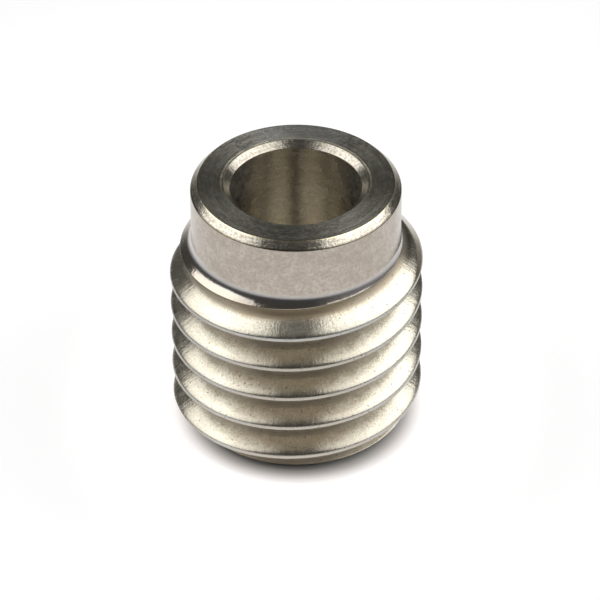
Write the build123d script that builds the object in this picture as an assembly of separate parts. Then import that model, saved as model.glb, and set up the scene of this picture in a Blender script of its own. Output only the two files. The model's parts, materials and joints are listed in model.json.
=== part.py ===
from build123d import *
from math import radians, sqrt, tan
import os

os.makedirs("parts", exist_ok=True)

# Hollow socket set screw with a plain point, turned and threaded from one bar. Millimetres.
# Origin at the centre of the drive end, +Z along the axis towards the plain point.

# metric thread
thread_diameter = 12.0
thread_pitch = 1.75
flank_angle = 60.0
# height of the lowest full crest's underside on the -Y side, which sets where the thread starts
thread_start_height = 1.39

# lengths along the axis
overall_length = 13.2
point_length = 3.25

# plain point: turned just under the thread's root so that it passes through the tapped hole
point_root_clearance = 0.1
point_chamfer_width = 0.325
point_chamfer_height = 0.36
neck_fillet = 0.8

# drive end: chamfered at 45 degrees to just under the root, with a broached hexagon socket
drive_root_clearance = 0.23
socket_across_flats = 6.0
socket_depth = 4.8
socket_mouth_margin = 0.09
socket_mouth_angle = 120.0

# hole drilled for the broach, a little wider than the hexagon across its flats
broach_allowance = 0.1

# blind bore in the point, eased at its mouth; a web of steel is left between it and the socket
bore_diameter = 6.2
bore_mouth_width = 0.3
bore_mouth_depth = 0.25
web_thickness = 1.2

# how far a cutter runs past the face it opens
overrun = 0.1

# thread section
half_flank = radians(flank_angle / 2)
crest_flat = thread_pitch / 8
root_flat = thread_pitch / 4
thread_radius = thread_diameter / 2
root_radius = thread_radius - (thread_pitch - crest_flat - root_flat) / 2 / tan(half_flank)

# radii and heights that follow from the thread and the socket
point_radius = root_radius - point_root_clearance
point_face_radius = point_radius - point_chamfer_width
drive_face_radius = root_radius - drive_root_clearance
drive_chamfer = thread_radius - drive_face_radius
neck_height = overall_length - point_length
shoulder_height = neck_height - (thread_radius - point_radius)
bore_radius = bore_diameter / 2
bore_mouth_radius = bore_radius + bore_mouth_width
bore_floor_height = socket_depth + web_thickness
pilot_radius = (socket_across_flats + broach_allowance) / 2
socket_corner_radius = socket_across_flats / sqrt(3)
socket_mouth_radius = socket_corner_radius + socket_mouth_margin

# blank: half section turned about the axis
with BuildPart() as blank:
    with BuildSketch(Plane.XZ) as half_section:
        with BuildLine():
            Polyline(
                (0, 0),
                (drive_face_radius, 0),
                (thread_radius, drive_chamfer),
                (thread_radius, shoulder_height),
                (point_radius, neck_height),
                (point_radius, overall_length - point_chamfer_height),
                (point_face_radius, overall_length),
                (bore_mouth_radius, overall_length),
                (bore_radius, overall_length - bore_mouth_depth),
                (bore_radius, bore_floor_height),
                (0, bore_floor_height),
                close=True,
            )
        make_face()
        neck = half_section.vertices().sort_by_distance((point_radius, neck_height, 0))[0]
        fillet(neck, neck_fillet)
    revolve(axis=Axis.Z)

# thread groove: the gap between two crests, carried a little past them into the air
cutter_overrun = crest_flat / 4
cutter_depth = thread_radius - root_radius + cutter_overrun
cutter_half_width = (thread_pitch - crest_flat) / 2 + cutter_overrun * tan(half_flank)
groove_height = thread_start_height - (thread_pitch - crest_flat) / 2

# one turn of the cutter, which runs on into the next turn a pitch above it
turn_path = Helix(thread_pitch, thread_pitch, root_radius)
turn_path = turn_path.rotate(Axis.Z, -90).translate((0, 0, groove_height))
cutter_plane = Plane(origin=turn_path @ 0, x_dir=(0, -1, 0), z_dir=(1, 0, 0))
with BuildSketch(cutter_plane) as cutter_section:
    with BuildLine():
        Polyline(
            (0, -root_flat / 2),
            (cutter_depth, -cutter_half_width),
            (cutter_depth, cutter_half_width),
            (0, root_flat / 2),
            close=True,
        )
    make_face()
turn_cutter = sweep(cutter_section.sketch, path=turn_path, is_frenet=True)

# the groove starts below the drive end and runs out above the neck
turns_below = int(groove_height / thread_pitch) + 2
turns_above = int((neck_height - groove_height) / thread_pitch) + 2
threaded = blank.part
for turn in range(-turns_below, turns_above):
    threaded = threaded - Pos(0, 0, turn * thread_pitch) * turn_cutter

# hexagon socket, broached into the drilled hole
with BuildPart() as socket:
    with BuildSketch(Plane.XY.offset(-overrun)):
        RegularPolygon(socket_corner_radius, 6)
        Circle(pilot_radius)
    extrude(amount=socket_depth + overrun)

# conical mouth of the socket
with BuildPart() as socket_mouth:
    with BuildSketch(Plane.XZ):
        with BuildLine():
            Polyline(
                (0, 0),
                (socket_mouth_radius, 0),
                (0, socket_mouth_radius / tan(radians(socket_mouth_angle / 2))),
                close=True,
            )
        make_face()
    revolve(axis=Axis.Z)

set_screw = threaded - socket.part - socket_mouth.part
export_step(set_screw, "parts/set_screw.step")
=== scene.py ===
import json
import math
import bpy
import numpy as np
from mathutils import Matrix, Vector


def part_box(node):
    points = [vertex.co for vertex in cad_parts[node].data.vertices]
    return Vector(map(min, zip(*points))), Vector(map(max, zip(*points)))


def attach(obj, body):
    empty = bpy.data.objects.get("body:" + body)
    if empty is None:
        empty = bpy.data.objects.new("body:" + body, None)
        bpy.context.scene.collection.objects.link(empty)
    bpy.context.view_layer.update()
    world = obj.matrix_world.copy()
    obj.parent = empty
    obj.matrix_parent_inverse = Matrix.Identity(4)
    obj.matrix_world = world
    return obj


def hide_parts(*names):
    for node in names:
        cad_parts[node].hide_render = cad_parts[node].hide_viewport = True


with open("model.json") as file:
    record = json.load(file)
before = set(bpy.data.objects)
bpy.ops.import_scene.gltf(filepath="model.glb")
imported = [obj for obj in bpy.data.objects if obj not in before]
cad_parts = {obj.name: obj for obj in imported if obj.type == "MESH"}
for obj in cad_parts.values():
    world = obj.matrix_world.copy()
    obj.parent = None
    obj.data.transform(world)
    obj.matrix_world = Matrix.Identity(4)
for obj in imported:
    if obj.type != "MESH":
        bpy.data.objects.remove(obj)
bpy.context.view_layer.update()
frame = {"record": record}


# ======================================================================= screw body
# The whole set screw: stainless bar, turned and threaded on a lathe, bored from above and broached from
# below. Every surface is bare cut steel. The shape is one closed skin, made column by column round the
# axis, and each kind of cut (thread, turned neck, faced end, bore, broached socket) has its own material.

screw_low, screw_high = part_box("set_screw")
mounts = {mount["name"]: mount for mount in frame["record"]["mounts"]}

# sizes in millimetres; the outside stays a hair inside the solid's box, once soft_min has taken a quarter of
# the run-out's round off the crests
millimetre = 0.001
skin_allowance = 0.004
runout_round = 0.035
overall_length = (screw_high.z - screw_low.z) / millimetre - skin_allowance
crest_radius = screw_high.x / millimetre - skin_allowance + runout_round / 4
point_radius = mounts["point"]["dims"]["r_mm"]
bore_radius = mounts["bore"]["dims"]["r_mm"]

# thread
pitch = 1.75
crest_flat = pitch / 8
flank_slope = 1 / math.tan(math.radians(30))
crest_start = 1.385
crest_edge_round = 0.05
crest_top_round = 0.18
runout_slope = 0.2

# the root is one arc that touches both flanks; its radius is a sixth of the sharp thread's height
root_round = pitch * math.cos(math.radians(30)) / 6
root_radius = crest_radius - (pitch - crest_flat) / 2 * flank_slope + root_round
root_width = 2 * root_round * math.cos(math.radians(30))
straight_flank = (pitch - crest_flat - root_width) / 2

# drive end, shoulder, neck and point
drive_face_radius = 4.823
shoulder_height = 8.903
neck_fillet = 0.8
point_chamfer_width = 0.325
point_chamfer_height = 0.36
point_edge_round = 0.035
neck_edge_round = 2.5 * point_edge_round
bore_mouth_width = 0.3
bore_mouth_depth = 0.28
bore_edge_round = 0.03
web_thickness = 1.2
bore_floor_round = 0.15

# socket, whose hexagon has corners on the X axis; the hole drilled before broaching is just wider than its
# flats, and the mouth's cone leans away from the axis
socket_half_width = 3.0
socket_pilot_radius = 3.05
socket_depth = 4.8
socket_mouth_radius = 3.554
socket_mouth_lean = math.radians(60)

# where the 45 degree shoulder runs into the neck's arc, and how far up the neck the threaded skin goes on
neck_height = shoulder_height + crest_radius - point_radius
fillet_centre_radius = point_radius + neck_fillet
fillet_centre_height = neck_height + neck_fillet * math.tan(math.radians(22.5))
fillet_start_height = fillet_centre_height - neck_fillet * math.sin(math.radians(45))
neck_overlap = 0.02
skin_top = fillet_centre_height + neck_overlap


def soft_min(first, second, width):
    """The smaller of the two, with the corner where they cross eased: inside a band as wide as width it is
    lowered by the square of what is left of the band, over four times the width."""
    left = np.clip(width - np.abs(first - second), 0, None)
    return np.minimum(first, second) - left**2 / (4 * width)


def bar_radius(height):
    """Outside of the bar before threading. From below: the end chamfer grows by as much as the height, the
    cylinder keeps the crest's radius, the shoulder shrinks by as much as the height, and a circular arc
    leads from it into the neck, which keeps the point's radius."""
    chamfer = drive_face_radius + height
    shoulder = crest_radius - (height - shoulder_height)
    half_chord = np.sqrt(np.clip(neck_fillet**2 - (height - fillet_centre_height)**2, 0, None))
    neck = np.where(height < fillet_centre_height, fillet_centre_radius - half_chord, point_radius)
    upper = np.where(height < fillet_start_height, shoulder, neck)
    return soft_min(chamfer, soft_min(upper, crest_radius, crest_edge_round), crest_edge_round)


def thread_radius(angle, height):
    """Radius of the endless thread. The distance to the nearest crest's middle is measured along the axis,
    after taking off one pitch for each turn; half a crest flat away the flank starts to fall at its slope.
    Within half the root's width of the groove's middle a circular arc takes over, whose centre lies its
    radius outside the root. The crest's corners are eased, the upper one more. Above the foot of the neck's
    arc the tool is drawn out, and the groove gets shallower by the run-out's slope times the height."""
    climbed = height - pitch * angle / (2 * np.pi) - crest_start - crest_flat / 2
    climbed = (climbed + pitch / 2) % pitch - pitch / 2
    distance = np.abs(climbed)
    from_root = pitch / 2 - distance
    flank = crest_radius - (distance - crest_flat / 2) * flank_slope
    arc = root_radius + root_round - np.sqrt(np.clip(root_round**2 - from_root**2, 0, None))
    edge_round = np.where(climbed > 0, crest_top_round, crest_edge_round)
    cut = soft_min(np.where(from_root < root_width / 2, arc, flank), crest_radius, edge_round)
    return cut + runout_slope * np.clip(height - fillet_start_height, 0, None)


def outside_radius(angle, height):
    """The threaded bar: whichever of thread and bar is smaller, with the edge between them just broken."""
    return soft_min(thread_radius(angle, height), bar_radius(height), runout_round)


def bar_is_bare(angle, height):
    """Where the thread lies outside the bar, by more than a trace, and so isn't cut."""
    bare_margin = 0.002
    return thread_radius(angle, height) > bar_radius(height) + bare_margin


# columns round the axis: angle zero is at the front, and some columns lie on the socket's edges
column_count = 240
columns = np.linspace(0, 2 * np.pi, column_count + 1)
pilot_edge_angle = math.acos(socket_half_width / socket_pilot_radius)
for flat_number in range(6):
    for side in (-1, 1):
        edge_angle = (flat_number * math.pi / 3 + side * pilot_edge_angle) % (2 * math.pi)
        columns[np.abs(columns - edge_angle).argmin()] = edge_angle

# thread rows: each turn has four pieces, flank, crest, flank and root. Each piece is split where thread and
# bare bar meet, found by halving; the place of the split, as a share of the piece, is carried evenly along
# the helix between such meetings, and on both sides of it there are as many rows, closer towards the ends
first_turn, last_turn = -2, 5
piece_lengths = (straight_flank, crest_flat, straight_flank, root_width)
piece_steps = (6, 3, 6, 6)
halvings = 34
nudge = 1e-6
turns = np.arange(first_turn, last_turn + 1)[:, None]
piece_heights = crest_start + np.cumsum([-straight_flank, *piece_lengths])
along_helix = turns * column_count + np.arange(column_count + 1)
climb = pitch * columns / (2 * np.pi) + turns * pitch
piece_rows = []
for piece, steps in enumerate(piece_steps):
    bottom, top = climb + piece_heights[piece], climb + piece_heights[piece + 1]
    below, above = bottom, top
    bare_below = bar_is_bare(columns, below + nudge)
    bare_above = bar_is_bare(columns, above - nudge)
    for halving in range(halvings):
        middle = (below + above) / 2
        same = bar_is_bare(columns, middle) == bare_below
        below, above = np.where(same, middle, below), np.where(same, above, middle)
    meets = bare_below != bare_above
    meeting, first_meeting = np.unique(along_helix[meets], return_index=True)
    met_share = ((below - bottom) / (top - bottom))[meets][first_meeting]
    split = bottom + (top - bottom) * np.interp(along_helix, meeting, met_share)
    share = (1 - np.cos(np.pi * np.arange(steps) / steps))[:, None, None] / 2
    piece_rows.append(np.concatenate([bottom + (split - bottom) * share, split + (top - split) * share]))
thread_rows = np.concatenate(piece_rows).swapaxes(0, 1).reshape(-1, column_count + 1)
thread_z = np.clip(thread_rows, 0, skin_top)
thread_r = outside_radius(columns, thread_z)

# the steepness of the skin upwards and round the axis gives its normals
step = 1e-4
rise_up = (outside_radius(columns, thread_z + step) - outside_radius(columns, thread_z - step)) / (2 * step)
rise_round = outside_radius(columns + step, thread_z) - outside_radius(columns - step, thread_z)
rise_round = rise_round / (2 * step)
thread_normals = np.stack([np.ones_like(thread_r), -rise_round / thread_r, -rise_up], axis=-1)

# neck, chamfer, end face, bore mouth and bore: one profile, whose corners are radius, height and rounding.
# Each run between two corners is one kind of cut
profile_corners = [
    (point_radius, skin_top, 0),
    (point_radius, overall_length - point_chamfer_height, neck_edge_round),
    (point_radius - point_chamfer_width, overall_length, point_edge_round),
    (bore_radius + bore_mouth_width, overall_length, bore_edge_round),
    (bore_radius, overall_length - bore_mouth_depth, bore_edge_round),
    (bore_radius, socket_depth + web_thickness, bore_floor_round),
    (0, socket_depth + web_thickness, 0),
]
run_kinds = ("turned", "chamfered", "faced", "chamfered", "bored", "bored")
arc_points = 5


def profile_point(place, way):
    """A point of the profile with its normal: the way along the profile, turned a quarter clockwise."""
    return np.array([*place, way[1], -way[0]])


corner = np.array([(r, z) for r, z, rounding in profile_corners])
heading = np.diff(corner, axis=0)
heading = heading / np.linalg.norm(heading, axis=1)[:, None]
profile = [profile_point(corner[0], heading[0])]
profile_kinds = []
for i in range(1, len(corner) - 1):
    before, after = heading[i - 1], heading[i]
    turn_angle = math.atan2(before[0] * after[1] - before[1] * after[0], before @ after)
    rounding = profile_corners[i][2]
    start = corner[i] - before * rounding * math.tan(abs(turn_angle) / 2)
    centre = start + np.array([-before[1], before[0]]) * np.sign(turn_angle) * rounding
    for share in np.linspace(0, 1, arc_points):
        swing = share * turn_angle
        way = np.array([before[0] * math.cos(swing) - before[1] * math.sin(swing),
                        before[0] * math.sin(swing) + before[1] * math.cos(swing)])
        place = centre - np.array([-way[1], way[0]]) * rounding * np.sign(turn_angle)
        profile.append(profile_point(place, way))
        profile_kinds.append(run_kinds[i - 1 if share < 0.5 else i])
profile.append(profile_point(corner[-1], heading[-1]))
profile_kinds.append(run_kinds[-1])
all_round = np.ones(column_count + 1)
profile_r, profile_z, profile_outwards, profile_upwards = np.array(profile).T[:, :, None] * all_round
profile_normals = np.stack([profile_outwards, 0 * profile_outwards, profile_upwards], axis=-1)

# socket: floor, hexagon walls, conical mouth and drive face
wall_rows = 5
from_flat = (columns + np.pi / 6) % (np.pi / 3) - np.pi / 6
socket_r = np.maximum(socket_pilot_radius, socket_half_width / np.cos(from_flat))
socket_mouth_z = (socket_mouth_radius - socket_r) / math.tan(socket_mouth_lean)
wall_share = np.linspace(0, 1, wall_rows)[:, None]
wall_z = socket_depth + (socket_mouth_z - socket_depth) * wall_share


def same_normals(rows, outwards, upwards):
    """The same normal at each point of so many rows: outwards is its share away from the axis."""
    return np.tile(np.array([outwards, 0.0, upwards]), (rows, column_count + 1, 1))


# each patch of skin: radii, heights, normals and, where it isn't the thread, each row's kind of cut
patches = {
    "thread": (thread_r, thread_z, thread_normals, None),
    "profile": (profile_r, profile_z, profile_normals, profile_kinds),
    "socket_floor": (np.array([0 * all_round, socket_r]), socket_depth * np.array([all_round, all_round]),
                     same_normals(2, 0, -1), ["broached"]),
    "socket_walls": (np.repeat(socket_r[None], wall_rows, axis=0), wall_z,
                     same_normals(wall_rows, -1, 0), ["broached"] * (wall_rows - 1)),
    "socket_mouth": (np.array([socket_r, socket_mouth_radius * all_round]),
                     np.array([socket_mouth_z, 0 * all_round]),
                     same_normals(2, -math.cos(socket_mouth_lean), -math.sin(socket_mouth_lean)),
                     ["chamfered"]),
    "drive_face": (np.array([socket_mouth_radius * all_round, drive_face_radius * all_round]),
                   np.array([0 * all_round, 0 * all_round]), same_normals(2, 0, -1), ["faced"]),
}

# every point once: points of one column at the same radius and height, to a ten-thousandth of a millimetre,
# are the same vertex, and its key packs the three into one number. The shift keeps whole sizes away from the
# edges of the steps
steel_kinds = ["threaded", "turned", "faced", "chamfered", "bored", "broached"]
key_steps = 1e4
key_shift = 0.37
key_room = 2**20
column_numbers = np.arange(column_count + 1) % column_count
outward = np.stack([np.sin(columns), -np.cos(columns)], axis=-1)
outward[-1] = outward[0]
around = np.stack([-outward[:, 1], outward[:, 0]], axis=-1)
keys, places, triangles, corner_normals, kinds = [], [], [], [], []
offset = 0
for patch, (r, z, normals, row_kinds) in patches.items():
    rows = len(r)
    r_steps, z_steps = np.floor(r * key_steps + key_shift), np.floor(z * key_steps + key_shift)
    keys.append(((column_numbers * (r > 0) * key_room + r_steps) * key_room + z_steps).ravel())
    places.append(np.stack([r * outward[:, 0], r * outward[:, 1], z], axis=-1).reshape(-1, 3))
    row, column = (a.ravel() for a in np.mgrid[0:rows - 1, 0:column_count])
    first = row * (column_count + 1) + column
    second, third, fourth = first + 1, first + column_count + 2, first + column_count + 1
    both = np.stack([first, second, third, first, third, fourth], axis=1).reshape(-1, 3)
    triangles.append(both + offset)
    offset += rows * (column_count + 1)
    level_part = normals[..., 0:1] * outward + normals[..., 1:2] * around
    facing = np.concatenate([level_part, normals[..., 2:3]], axis=-1)
    facing = (facing / np.linalg.norm(facing, axis=-1)[..., None]).reshape(-1, 3)[both]
    if patch == "socket_walls":
        middle_angle = (columns[column] + columns[column + 1]) / 2
        flat_angle = np.round(middle_angle / (np.pi / 3)) * np.pi / 3
        flat_normal = np.stack([-np.sin(flat_angle), np.cos(flat_angle), 0 * flat_angle], axis=-1)
        on_flat = np.repeat(np.abs(middle_angle - flat_angle) > pilot_edge_angle, 2)[:, None, None]
        facing = np.where(on_flat, np.repeat(flat_normal, 2, axis=0)[:, None], facing)
    corner_normals.append(facing)
    if patch == "thread":
        centre_z = (z[:-1, :-1] + z[1:, 1:]) / 2
        centre_angle = np.broadcast_to((columns[:-1] + columns[1:]) / 2, centre_z.shape)
        cut_kinds = np.where(bar_is_bare(centre_angle, centre_z), steel_kinds.index("turned"),
                             steel_kinds.index("threaded"))
        kinds.append(np.repeat(cut_kinds.ravel(), 2))
    else:
        kinds.append(np.repeat([steel_kinds.index(kind) for kind in row_kinds], 2 * column_count))
first_use, vertex_of = np.unique(np.concatenate(keys), return_index=True, return_inverse=True)[1:]
vertices = np.concatenate(places)[first_use] * millimetre
triangles = vertex_of[np.concatenate(triangles)]
real = np.all(triangles != np.roll(triangles, 1, axis=1), axis=1)
triangles = triangles[real]
corner_normals = np.concatenate(corner_normals)[real].reshape(-1, 3)
kinds = np.concatenate(kinds)[real]

screw_mesh = bpy.data.meshes.new("screw_body")
screw_mesh.from_pydata(vertices, [], triangles)
screw_mesh.polygons.foreach_set("use_smooth", np.ones(len(triangles), bool))
screw_mesh.polygons.foreach_set("material_index", kinds.astype(np.int32))
screw_mesh.normals_split_custom_set(corner_normals)
screw_body = bpy.data.objects.new("screw_body", screw_mesh)
bpy.context.scene.collection.objects.link(screw_body)


def put(tree, kind, inputs=None, **settings):
    """Adds a node, sets its settings, and fills its inputs: a value is set, and another node's output is
    linked."""
    made = tree.nodes.new(kind)
    for name, value in settings.items():
        setattr(made, name, value)
    for name, value in (inputs or {}).items():
        if isinstance(value, bpy.types.NodeSocket):
            tree.links.new(value, made.inputs[name])
        else:
            made.inputs[name].default_value = value
    return made


def maths(tree, operation, first, second=0.0):
    """One arithmetic step on numbers."""
    return put(tree, "ShaderNodeMath", {0: first, 1: second}, operation=operation).outputs[0]


def times(tree, product, *factors):
    """The product of all that is given."""
    for factor in factors:
        product = maths(tree, "MULTIPLY", product, factor)
    return product


def vectors(tree, operation, first, second):
    """One arithmetic step on vectors."""
    return put(tree, "ShaderNodeVectorMath", {0: first, 1: second}, operation=operation).outputs["Vector"]


def scaled(tree, vector, factor):
    """The vector made longer by the factor."""
    longer = put(tree, "ShaderNodeVectorMath", {0: vector, "Scale": factor}, operation="SCALE")
    return longer.outputs["Vector"]


def length(tree, vector):
    """The vector's length."""
    return put(tree, "ShaderNodeVectorMath", {0: vector}, operation="LENGTH").outputs["Value"]


def spread(tree, value, low, high, to_low, to_high):
    """Stretches value from low..high to to_low..to_high and holds it there."""
    ends = {"From Min": low, "From Max": high, "To Min": to_low, "To Max": to_high}
    return put(tree, "ShaderNodeMapRange", {"Value": value, **ends}, clamp=True).outputs["Result"]


def blend_colours(tree, share, first, second):
    """The first colour where share is 0 and the second where it is 1."""
    first, second = (colour if isinstance(colour, bpy.types.NodeSocket) else (*colour, 1)
                     for colour in (first, second))
    return put(tree, "ShaderNodeMix", {0: share, 6: first, 7: second}, data_type="RGBA").outputs[2]


def layered(tree, colour, *layers):
    """The colour with each layer laid over it in turn. A layer is how much of it shows and its own colour."""
    for share, layer_colour in layers:
        colour = blend_colours(tree, share, colour, layer_colour)
    return colour


def relief_of(tree, *layers):
    """Patterns added up, each times its height in thousandths of a millimetre."""
    (pattern, pattern_height), *others = layers
    relief = times(tree, pattern, pattern_height)
    for pattern, pattern_height in others:
        relief = maths(tree, "ADD", relief, times(tree, pattern, pattern_height))
    return relief


def lathe_coordinates(tree):
    """Where a point is on the turned part, in millimetres: the point itself, its radius and height, and a
    unit vector round the axis with its share to the right and its share to the back, each from -1 to 1.
    Also how far the surface faces up, and the direction across the turning marks, which is the normal
    crossed with the way round."""
    mm = scaled(tree, put(tree, "ShaderNodeTexCoord").outputs["Object"], 1 / millimetre)
    flat = vectors(tree, "MULTIPLY", mm, (1, 1, 0))
    unit = put(tree, "ShaderNodeVectorMath", {0: flat}, operation="NORMALIZE").outputs["Vector"]
    shares = put(tree, "ShaderNodeSeparateXYZ", {0: unit}).outputs
    height = put(tree, "ShaderNodeSeparateXYZ", {0: mm}).outputs["Z"]
    normal = put(tree, "ShaderNodeNewGeometry").outputs["Normal"]
    facing_up = put(tree, "ShaderNodeSeparateXYZ", {0: normal}).outputs["Z"]
    way_round = vectors(tree, "CROSS_PRODUCT", (0, 0, 1), unit)
    across = vectors(tree, "CROSS_PRODUCT", normal, way_round)
    return {"mm": mm, "radius": length(tree, flat), "height": height, "unit": unit, "right": shares["X"],
            "back": shares["Y"], "facing_up": facing_up, "across": across}


def streaks(tree, at, round_cells, along, along_cells, detail=2.0, roughness=0.5):
    """Noise drawn out round the axis or across it: round_cells is the number of cells in one radian, and
    along_cells the number in a millimetre of along."""
    noise = {"Vector": scaled(tree, at["unit"], round_cells), "W": times(tree, along, along_cells),
             "Scale": 1.0, "Detail": detail, "Roughness": roughness}
    return put(tree, "ShaderNodeTexNoise", noise, noise_dimensions="4D").outputs["Fac"]


def grain(tree, mm, cells, detail=3.0, roughness=0.55):
    """Plain noise with so many cells in a millimetre."""
    noise = {"Vector": mm, "Scale": cells, "Detail": detail, "Roughness": roughness}
    return put(tree, "ShaderNodeTexNoise", noise, noise_dimensions="3D").outputs["Fac"]


def ragged_radius(tree, at):
    """The radius with up to an eighth of a millimetre of grain added, for edges that aren't cut clean."""
    return maths(tree, "ADD", at["radius"], times(tree, grain(tree, at["mm"], 5.0, 2.0), 0.12))


def two_tones(tree, mottle, dark, light):
    """Clean steel in two tones, the lighter where the mottling is strong."""
    return blend_colours(tree, spread(tree, mottle, 0.35, 0.65, 0.0, 1.0), dark, light)


def steel(name, draw):
    """A bare steel material: draw works out colour, roughness and relief for one kind of cut, and where the
    surface is dirty how metallic it is."""
    material = bpy.data.materials.new(name)
    material.use_nodes = True
    tree = material.node_tree
    shader = tree.nodes["Principled BSDF"]
    at = lathe_coordinates(tree)
    made = draw(tree, at)
    relief = {"Height": made["relief"], "Strength": 1.0, "Distance": millimetre / 1000}
    tree.links.new(put(tree, "ShaderNodeBump", relief).outputs["Normal"], shader.inputs["Normal"])
    tree.links.new(made["colour"], shader.inputs["Base Color"])
    tree.links.new(made["roughness"], shader.inputs["Roughness"])
    shader.inputs["Metallic"].default_value = 1.0
    if "metallic" in made:
        tree.links.new(made["metallic"], shader.inputs["Metallic"])
    if "anisotropy" in made:
        shader.inputs["Anisotropic"].default_value = made["anisotropy"]
        tree.links.new(at["across"], shader.inputs["Tangent"])
    return material


def draw_threaded(tree, at):
    """Thread: fine tool marks along the helix, chatter that combs the flanks from root to crest, mottling and
    small dark pits. A brown film, part dirt and part painted shade, darkens the groove, most of all at its
    bottom. Painted shade darkens the flanks that face down, the front of the turns below the topmost, the
    left side and the groove at the right side. In the topmost groove the film is oil, and browner. Crests and
    upper flanks are worn to grey."""
    marks = streaks(tree, at, 5.0, at["radius"], 14.0, 2.0)
    slanted = maths(tree, "ADD", at["radius"], times(tree, at["height"], 0.45))
    chatter = streaks(tree, at, 38.0, slanted, 1.6, 3.0, 0.6)
    mottle = grain(tree, at["mm"], 2.2)
    speckle = grain(tree, at["mm"], 9.0, 2.0)
    pits = spread(tree, grain(tree, at["mm"], 7.0, 1.0), 0.68, 0.75, 0.0, 0.8)

    crest = spread(tree, at["radius"], 5.93, 5.985, 0.0, 1.0)
    worn = times(tree, spread(tree, at["radius"], 5.74, 5.92, 0.0, 0.45),
                 spread(tree, at["facing_up"], 0.3, 0.6, 0.0, 1.0))
    # the groove darker towards its root: partly a brown dirt film, partly painted shade
    groove_film_and_shade = spread(tree, maths(tree, "ADD", at["radius"], chatter), 5.60, 5.84, 0.9, 0.0)
    # the groove's bottom darker still: partly dregs of dirt, partly painted shade
    root_dregs_and_shade = spread(tree, at["radius"], 4.96, 5.10, 1.0, 0.0)
    oily = times(tree, spread(tree, at["height"], 8.2, 8.8, 0.0, 0.9),
                 spread(tree, at["back"], -0.97, -0.80, 1.0, 0.3))
    # painted shade on the front of the turns below the topmost, broken by the mottling
    painted_front_shade = times(tree, spread(tree, at["back"], -0.97, -0.80, 0.6, 0.0),
                  spread(tree, at["height"], 7.6, 8.4, 1.0, 0.0),
                  spread(tree, mottle, 0.35, 0.60, 1.0, 0.7))
    lowest = times(tree, spread(tree, at["height"], 1.2, 3.2, 0.55, 0.0),
                   spread(tree, at["right"], -0.3, 0.6, 0.3, 1.0),
                   spread(tree, mottle, 0.35, 0.60, 1.0, 0.6))
    # painted shade on the left side of the thread, fading out at the very edge
    left = times(tree, spread(tree, at["right"], -0.90, -0.64, 0.5, 0.0),
                 spread(tree, at["right"], -0.98, -0.93, 0.0, 1.0))
    # painted shade in the groove at the right side, away from the front
    painted_right_groove_shade = times(tree, spread(tree, at["right"], 0.80, 0.90, 0.0, 0.85),
                       spread(tree, at["radius"], 5.35, 5.55, 1.0, 0.0),
                       spread(tree, at["back"], -0.30, -0.14, 0.0, 1.0))

    colour = layered(tree, two_tones(tree, mottle, (0.77, 0.72, 0.59), (0.90, 0.86, 0.73)),
                     (spread(tree, speckle, 0.35, 0.60, 0.4, 0.0), (0.44, 0.40, 0.30)),
                     (crest, (0.54, 0.53, 0.50)),
                     (worn, (0.46, 0.43, 0.36)),
                     (groove_film_and_shade, (0.62, 0.55, 0.44)),
                     (times(tree, groove_film_and_shade, oily), (0.68, 0.56, 0.38)),
                     # painted shade on the flanks that face down
                     (spread(tree, at["facing_up"], -0.4, 0.1, 0.9, 0.0), (0.42, 0.37, 0.30)),
                     (root_dregs_and_shade, (0.55, 0.48, 0.38)),
                     (times(tree, root_dregs_and_shade, oily), (0.52, 0.42, 0.28)),
                     (painted_front_shade, (0.48, 0.42, 0.33)),
                     (lowest, (0.46, 0.42, 0.35)),
                     (left, (0.34, 0.31, 0.25)),
                     (painted_right_groove_shade, (0.22, 0.20, 0.16)),
                     (pits, (0.22, 0.19, 0.15)))
    roughness = maths(tree, "MAXIMUM", spread(tree, mottle, 0.3, 0.7, 0.22, 0.30),
                      spread(tree, at["radius"], 5.08, 5.25, 0.50, 0.22))
    relief = relief_of(tree, (marks, 1.6), (chatter, 6.5), (speckle, 4.0), (pits, -2.0))
    metallic = spread(tree, at["radius"], 5.10, 5.38, 0.60, 1.0)
    return {"colour": colour, "roughness": roughness, "relief": relief, "anisotropy": 0.85,
            "metallic": metallic}


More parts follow.
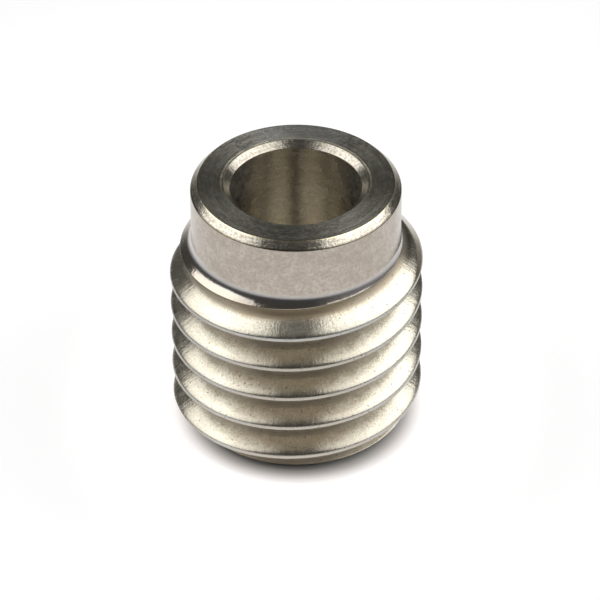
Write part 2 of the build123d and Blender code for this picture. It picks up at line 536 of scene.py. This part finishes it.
def draw_turned(tree, at):
    """Turned neck and shoulder: faint marks round the part, mottled satin and a few specks, and a painted
    pale reflection at the foot of the neck. The shoulder is combed by chatter, oily on the right, and darker
    along its lower edge except on the right."""
    marks = streaks(tree, at, 3.0, at["height"], 16.0, 2.0)
    combed = streaks(tree, at, 30.0, at["height"], 9.0, 2.0)
    mottle = grain(tree, at["mm"], 1.8, 4.0)
    fine = grain(tree, at["mm"], 7.0, 2.0)
    specks = spread(tree, grain(tree, at["mm"], 6.0, 1.0), 0.70, 0.76, 0.0, 0.5)

    above_centre = maths(tree, "SUBTRACT", at["height"], fillet_centre_height)
    above_start = maths(tree, "SUBTRACT", at["height"], fillet_start_height)
    # painted reflection: a paler, neutral tone at the foot of the neck
    foot = spread(tree, above_centre, -0.2, 0.05, 0.8, 0.0)
    shoulder = spread(tree, at["height"], fillet_start_height, fillet_centre_height - 0.3, 1.0, 0.0)
    right = spread(tree, at["right"], 0.15, 0.45, 0.0, 1.0)
    oily = times(tree, shoulder, right, spread(tree, mottle, 0.3, 0.6, 1.0, 0.5),
                 spread(tree, at["back"], -0.22, -0.06, 1.0, 0.0))
    # darker along the shoulder's lower edge, except on the right
    dark_lower_edge = times(tree, spread(tree, at["facing_up"], 0.45, 0.66, 0.9, 0.0),
                       spread(tree, above_start, -0.10, -0.04, 1.0, 0.0),
                       spread(tree, at["right"], 0.15, 0.35, 1.0, 0.0))

    colour = layered(tree, two_tones(tree, mottle, (0.46, 0.402, 0.350), (0.565, 0.503, 0.443)),
                     (spread(tree, fine, 0.40, 0.62, 0.0, 0.6), (0.38, 0.33, 0.275)),
                     (specks, (0.25, 0.20, 0.16)),
                     (foot, (0.57, 0.56, 0.56)),
                     (shoulder, (0.57, 0.51, 0.43)),
                     (oily, (0.30, 0.26, 0.18)),
                     (dark_lower_edge, (0.16, 0.13, 0.09)))
    roughness = spread(tree, above_centre, -0.1, 0.2, 0.14, 0.22)
    relief = relief_of(tree, (marks, 0.8), (mottle, 2.0), (times(tree, combed, shoulder), 9.0))
    below_foot = spread(tree, above_centre, -0.3, -0.1, 1.0, 0.0)
    metallic = maths(tree, "SUBTRACT", 1.0, times(tree, below_foot, right, 0.3))
    return {"colour": colour, "roughness": roughness, "relief": relief, "anisotropy": 0.8,
            "metallic": metallic}


def draw_faced(tree, at):
    """Faced ends: rings left by the tool about the axis, coarse and fine, darker at the sides, with painted
    shade towards the front, a painted pale reflection on the far side and a ragged dark edge. A painted
    bright glint with a painted dark line inside it runs round the back of the bore's mouth."""
    marks = streaks(tree, at, 2.0, at["radius"], 20.0, 3.0, 0.6)
    bands = streaks(tree, at, 1.5, at["radius"], 6.0, 2.0)
    mottle = grain(tree, at["mm"], 2.5)
    speckle = grain(tree, at["mm"], 8.0, 2.0)

    sides = maths(tree, "ABSOLUTE", at["right"])
    # darker towards the left and right sides
    darker_sides = times(tree, spread(tree, sides, 0.50, 0.95, 0.0, 1.0), spread(tree, mottle, 0.3, 0.6, 0.95, 0.5))
    behind = spread(tree, at["back"], -0.3, 0.2, 0.0, 0.85)
    outside_bore = maths(tree, "SUBTRACT", at["radius"], bore_radius + bore_mouth_width)
    # painted shade: a dark line just outside the bore's mouth, only round the back
    painted_dark_ring = times(tree, behind, spread(tree, outside_bore, 0.05, 0.08, 0.8, 0.0))
    # painted highlight: a bright glint round the back of the bore's mouth
    glint_band = times(tree, spread(tree, outside_bore, 0.06, 0.09, 0.0, 1.0),
                      spread(tree, outside_bore, 0.14, 0.18, 1.0, 0.0))
    painted_glint = times(tree, behind, glint_band, spread(tree, mottle, 0.35, 0.55, 0.4, 1.0))
    face_radius = point_radius - point_chamfer_width
    outer_ring = spread(tree, ragged_radius(tree, at), face_radius - 0.01, face_radius + 0.03, 0.0, 0.7)

    colour = layered(tree, two_tones(tree, mottle, (0.42, 0.41, 0.36), (0.60, 0.59, 0.53)),
                     (spread(tree, marks, 0.35, 0.65, 0.5, 0.0), (0.20, 0.19, 0.16)),
                     (spread(tree, speckle, 0.35, 0.62, 0.9, 0.0), (0.14, 0.13, 0.10)),
                     (darker_sides, (0.18, 0.17, 0.14)),
                     # painted shade: the face darker towards the front
                     (spread(tree, at["back"], -0.5, 0.9, 0.45, 0.0), (0.195, 0.19, 0.15)),
                     # painted reflection: the far side of the face paler
                     (spread(tree, at["back"], 0.80, 0.98, 0.0, 0.5), (0.85, 0.85, 0.80)),
                     (painted_dark_ring, (0.26, 0.23, 0.15)),
                     (painted_glint, (0.98, 0.92, 0.72)),
                     (outer_ring, (0.12, 0.10, 0.07)))
    roughness = spread(tree, bands, 0.3, 0.7, 0.22, 0.32)
    relief = relief_of(tree, (marks, 4.0), (bands, 6.0), (speckle, 9.0))
    return {"colour": colour, "roughness": roughness, "relief": relief, "anisotropy": 0.85}


def draw_chamfered(tree, at):
    """Chamfers and countersinks: brighter than the faces they border, with fine rings and a speckle. The end
    chamfer has a ragged dark rim and a painted pale gold glint along its upper edge; the countersinks are
    dimmer."""
    marks = streaks(tree, at, 2.0, at["radius"], 20.0, 3.0, 0.6)
    mottle = grain(tree, at["mm"], 3.0)
    speckle = grain(tree, at["mm"], 9.0, 2.0)

    ragged = ragged_radius(tree, at)
    face_radius = point_radius - point_chamfer_width
    rim = spread(tree, ragged, point_radius - 0.02, point_radius + 0.03, 0.0, 0.75)
    # painted highlight: a pale gold glint along the end chamfer's upper edge
    painted_gold_glint = times(tree, spread(tree, at["radius"], 4.0, 4.2, 0.0, 0.6),
                      spread(tree, ragged, face_radius + 0.10, face_radius + 0.14, 1.0, 0.0))
    countersink = spread(tree, at["radius"], 3.8, 4.0, 0.35, 0.0)

    colour = layered(tree, two_tones(tree, mottle, (0.72, 0.68, 0.59), (0.84, 0.80, 0.71)),
                     (spread(tree, speckle, 0.36, 0.58, 0.65, 0.0), (0.28, 0.24, 0.17)),
                     (spread(tree, marks, 0.35, 0.60, 0.5, 0.0), (0.32, 0.28, 0.20)),
                     (rim, (0.16, 0.12, 0.07)),
                     (painted_gold_glint, (1.0, 0.90, 0.62)),
                     (countersink, (0.30, 0.27, 0.22)))
    roughness = spread(tree, mottle, 0.3, 0.7, 0.18, 0.26)
    relief = relief_of(tree, (marks, 4.0), (speckle, 8.0))
    return {"colour": colour, "roughness": roughness, "relief": relief, "anisotropy": 0.6}


def draw_bored(tree, at):
    """Bored hole: close rings left by the tool down the wall."""
    marks = streaks(tree, at, 1.2, at["height"], 7.0, 2.0, 0.6)
    mottle = grain(tree, at["mm"], 2.0)
    colour = layered(tree, two_tones(tree, mottle, (0.61, 0.575, 0.50), (0.67, 0.635, 0.56)),
                     (spread(tree, marks, 0.38, 0.62, 0.5, 0.0), (0.50, 0.46, 0.385)))
    roughness = spread(tree, mottle, 0.3, 0.7, 0.24, 0.30)
    relief = relief_of(tree, (marks, 1.0))
    return {"colour": colour, "roughness": roughness, "relief": relief, "anisotropy": 0.8}


def draw_broached(tree, at):
    """Broached socket: straight score marks along the axis."""
    marks = grain(tree, vectors(tree, "MULTIPLY", at["mm"], (14, 14, 0.4)), 1.0)
    mottle = grain(tree, at["mm"], 2.0)
    colour = two_tones(tree, mottle, (0.46, 0.42, 0.35), (0.53, 0.49, 0.42))
    roughness = spread(tree, marks, 0.3, 0.7, 0.25, 0.36)
    relief = relief_of(tree, (marks, 3.0))
    return {"colour": colour, "roughness": roughness, "relief": relief}


steel_draws = (draw_threaded, draw_turned, draw_faced, draw_chamfered, draw_bored, draw_broached)
for kind, draw in zip(steel_kinds, steel_draws):
    screw_mesh.materials.append(steel(kind + "_steel", draw))

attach(screw_body, "root")
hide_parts("set_screw")


# ======================================================================= floor
# A matt white table top, wide enough to fill any view down on it, that keeps the screw's own shadow close
# round the foot. Near the foot its glow is held back, which paints part of that shadow, and tinted warm, a
# painted light bounced off the steel. What it glows by is seen by the camera, all white from a few
# centimetres off, and in the steel, where it dies away with distance. Its colour darkens away from the screw:
# painted shade, seen in the steel.
floor_size = 8.0
near_colour = (0.50, 0.50, 0.50)
far_colour = (0.12, 0.12, 0.12)
white_colour = (1.0, 1.0, 1.0)
# painted bounce light: the glow tinted warm in the shadow round the foot
painted_bounce_colour = (1.0, 0.89, 0.84)
shadow_shift = (-0.00008, 0.0, 0.0)
shadow_stretch = (1.04, 1.0, 1.0)

# distances from the screw's axis in metres, and the glow at shares of its reach
colour_fade = (0.03, 0.12)
painted_bounce_fade = (0.0052, 0.0068)
mirrored_fade = (0.020, 0.070)
far_glow_rise = (0.030, 0.050)
glow_reach = 0.1
# the glow rises from nothing at the foot, which paints the tight edge of the contact shadow
glow_steps = ((0.05, 0.0), (0.065, 0.80), (0.14, 0.55), (0.26, 0.53), (0.43, 0.52), (0.62, 0.18), (1.0, 0.0))

corner_xy = np.array([(-1, -1), (1, -1), (1, 1), (-1, 1)]) * floor_size / 2
floor_mesh = bpy.data.meshes.new("floor")
floor_mesh.from_pydata(np.column_stack([corner_xy, np.full(4, screw_low.z)]), [], [(0, 1, 2, 3)])
floor = bpy.data.objects.new("floor", floor_mesh)
bpy.context.scene.collection.objects.link(floor)
floor_material = bpy.data.materials.new("white_table")
floor_material.use_nodes = True
tree = floor_material.node_tree
shader = tree.nodes["Principled BSDF"]
shader.inputs["Roughness"].default_value = 0.9
shader.inputs["Specular IOR Level"].default_value = 0.0
place = vectors(tree, "ADD", put(tree, "ShaderNodeTexCoord").outputs["Object"], shadow_shift)
away = length(tree, vectors(tree, "MULTIPLY", place, shadow_stretch))
# painted shade: the table darker away from the screw, seen in the steel, while the camera sees it white
table_colour = blend_colours(tree, spread(tree, away, *colour_fade, 0.0, 1.0), near_colour, far_colour)
tree.links.new(table_colour, shader.inputs["Base Color"])
glow_colour = blend_colours(tree, spread(tree, away, *painted_bounce_fade, 0.0, 1.0), painted_bounce_colour, white_colour)
tree.links.new(glow_colour, shader.inputs["Emission Color"])
ramp = put(tree, "ShaderNodeValToRGB", {"Fac": maths(tree, "DIVIDE", away, glow_reach)})
ramp.color_ramp.interpolation = "EASE"
for number, (position, level) in enumerate(glow_steps):
    element = ramp.color_ramp.elements[number] if number < 2 else ramp.color_ramp.elements.new(position)
    element.position = position
    element.color = (level, level, level, 1)
rays = put(tree, "ShaderNodeLightPath").outputs
mirrored = times(tree, maths(tree, "MAXIMUM", rays["Is Glossy Ray"], rays["Is Transmission Ray"]),
                 spread(tree, away, *mirrored_fade, 1.0, 0.1))
seen = maths(tree, "MAXIMUM", rays["Is Camera Ray"], mirrored)
far_glow = times(tree, rays["Is Camera Ray"], spread(tree, away, *far_glow_rise, 0.0, 1.0))
glow = maths(tree, "MAXIMUM", times(tree, seen, ramp.outputs["Color"]), far_glow)
tree.links.new(glow, shader.inputs["Emission Strength"])
floor_mesh.materials.append(floor_material)


# ======================================================================= room
# The dim studio round the table.
room_colour = (0.98, 0.97, 0.95, 1)
room_light = 0.07
world = bpy.data.worlds.new("studio")
world.use_nodes = True
world.node_tree.nodes["Background"].inputs["Color"].default_value = room_colour
world.node_tree.nodes["Background"].inputs["Strength"].default_value = room_light
bpy.context.scene.world = world


# ======================================================================= soft boxes
# Two wide diffusers lying level over the table, left and right, each weaker towards its front inner edge.
# The gap between them widens towards the front and shows a dim white sheet a little above.
box_height = 0.50
box_fade = 0.6
sheet_lift = 0.01


def soft_box(name, corners, height, brightness, edge_level):
    """A flat glowing panel with the given corners, in box heights from the middle of the table, facing down.
    Its glow rises from edge_level at the line from the first corner to the second to all of it box_fade
    further in."""
    flat = np.array(corners) * box_height
    panel = bpy.data.meshes.new(name)
    panel.from_pydata(np.column_stack([flat, np.full(len(flat), height)]), [], [tuple(range(len(flat)))])
    along = (flat[1] - flat[0]) / np.linalg.norm(flat[1] - flat[0])
    inward = np.array([-along[1], along[0]])
    inward = inward * np.sign(inward @ (flat.mean(axis=0) - flat[0]))
    start = float(inward @ flat[0])
    glow = bpy.data.materials.new(name)
    glow.use_nodes = True
    tree = glow.node_tree
    tree.nodes.clear()
    point = put(tree, "ShaderNodeTexCoord").outputs["Object"]
    reach = put(tree, "ShaderNodeVectorMath", {0: point, 1: (*inward, 0)}, operation="DOT_PRODUCT")
    strength = spread(tree, reach.outputs["Value"], start, start + box_fade * box_height,
                      brightness * edge_level, brightness)
    emission = put(tree, "ShaderNodeEmission", {"Color": (1.0, 1.0, 1.0, 1), "Strength": strength})
    put(tree, "ShaderNodeOutputMaterial", {"Surface": emission.outputs[0]})
    panel.materials.append(glow)
    placed = bpy.data.objects.new(name, panel)
    bpy.context.scene.collection.objects.link(placed)


left_corners = [(-1.22, -1.2), (-0.62, -0.58), (-0.28, -0.40), (-0.28, 0.9), (-0.14, 1.05), (-3.3, 1.32),
                (-3.3, -1.2)]
right_corners = [(0.83, -1.2), (0.38, -0.60), (0.125, -0.40), (0.125, 0.85), (0.10, 1.0), (3.3, 1.22),
                 (3.3, -1.2)]
sheet_corners = [(-0.6, -0.35), (0.6, -0.35), (0.6, 1.7), (-0.6, 1.7)]
soft_box("soft_box_left", left_corners, box_height, 1.95, 0.55)
soft_box("soft_box_right", right_corners, box_height, 2.05, 0.65)
soft_box("dim_sheet", sheet_corners, box_height + sheet_lift, 0.19, 1.0)


# ======================================================================= camera
# A long lens, looking down on the front of the screw.
camera_elevation = math.radians(37.49)
camera_roll = math.radians(0.278)
camera_distance = 0.20740
aim_right = 0.0001948
aim_drop = 0.005526
camera_data = bpy.data.cameras.new("camera")
camera_data.sensor_width = 36.0
camera_data.lens = 266.4
camera_data.clip_start = 0.01
camera_data.clip_end = 50.0
forward = Vector((0, math.cos(camera_elevation), -math.sin(camera_elevation)))
level_right = Vector((1, 0, 0))
level_up = level_right.cross(forward)
right = level_right * math.cos(camera_roll) - level_up * math.sin(camera_roll)
up = level_right * math.sin(camera_roll) + level_up * math.cos(camera_roll)
place = Vector((0, 0, screw_high.z)) + right * aim_right - up * aim_drop - forward * camera_distance
camera = bpy.data.objects.new("camera", camera_data)
camera.matrix_world = Matrix.Translation(place) @ Matrix((right, up, -forward)).transposed().to_4x4()
bpy.context.scene.collection.objects.link(camera)
bpy.context.scene.camera = camera

bpy.context.scene.view_settings.view_transform = "Standard"
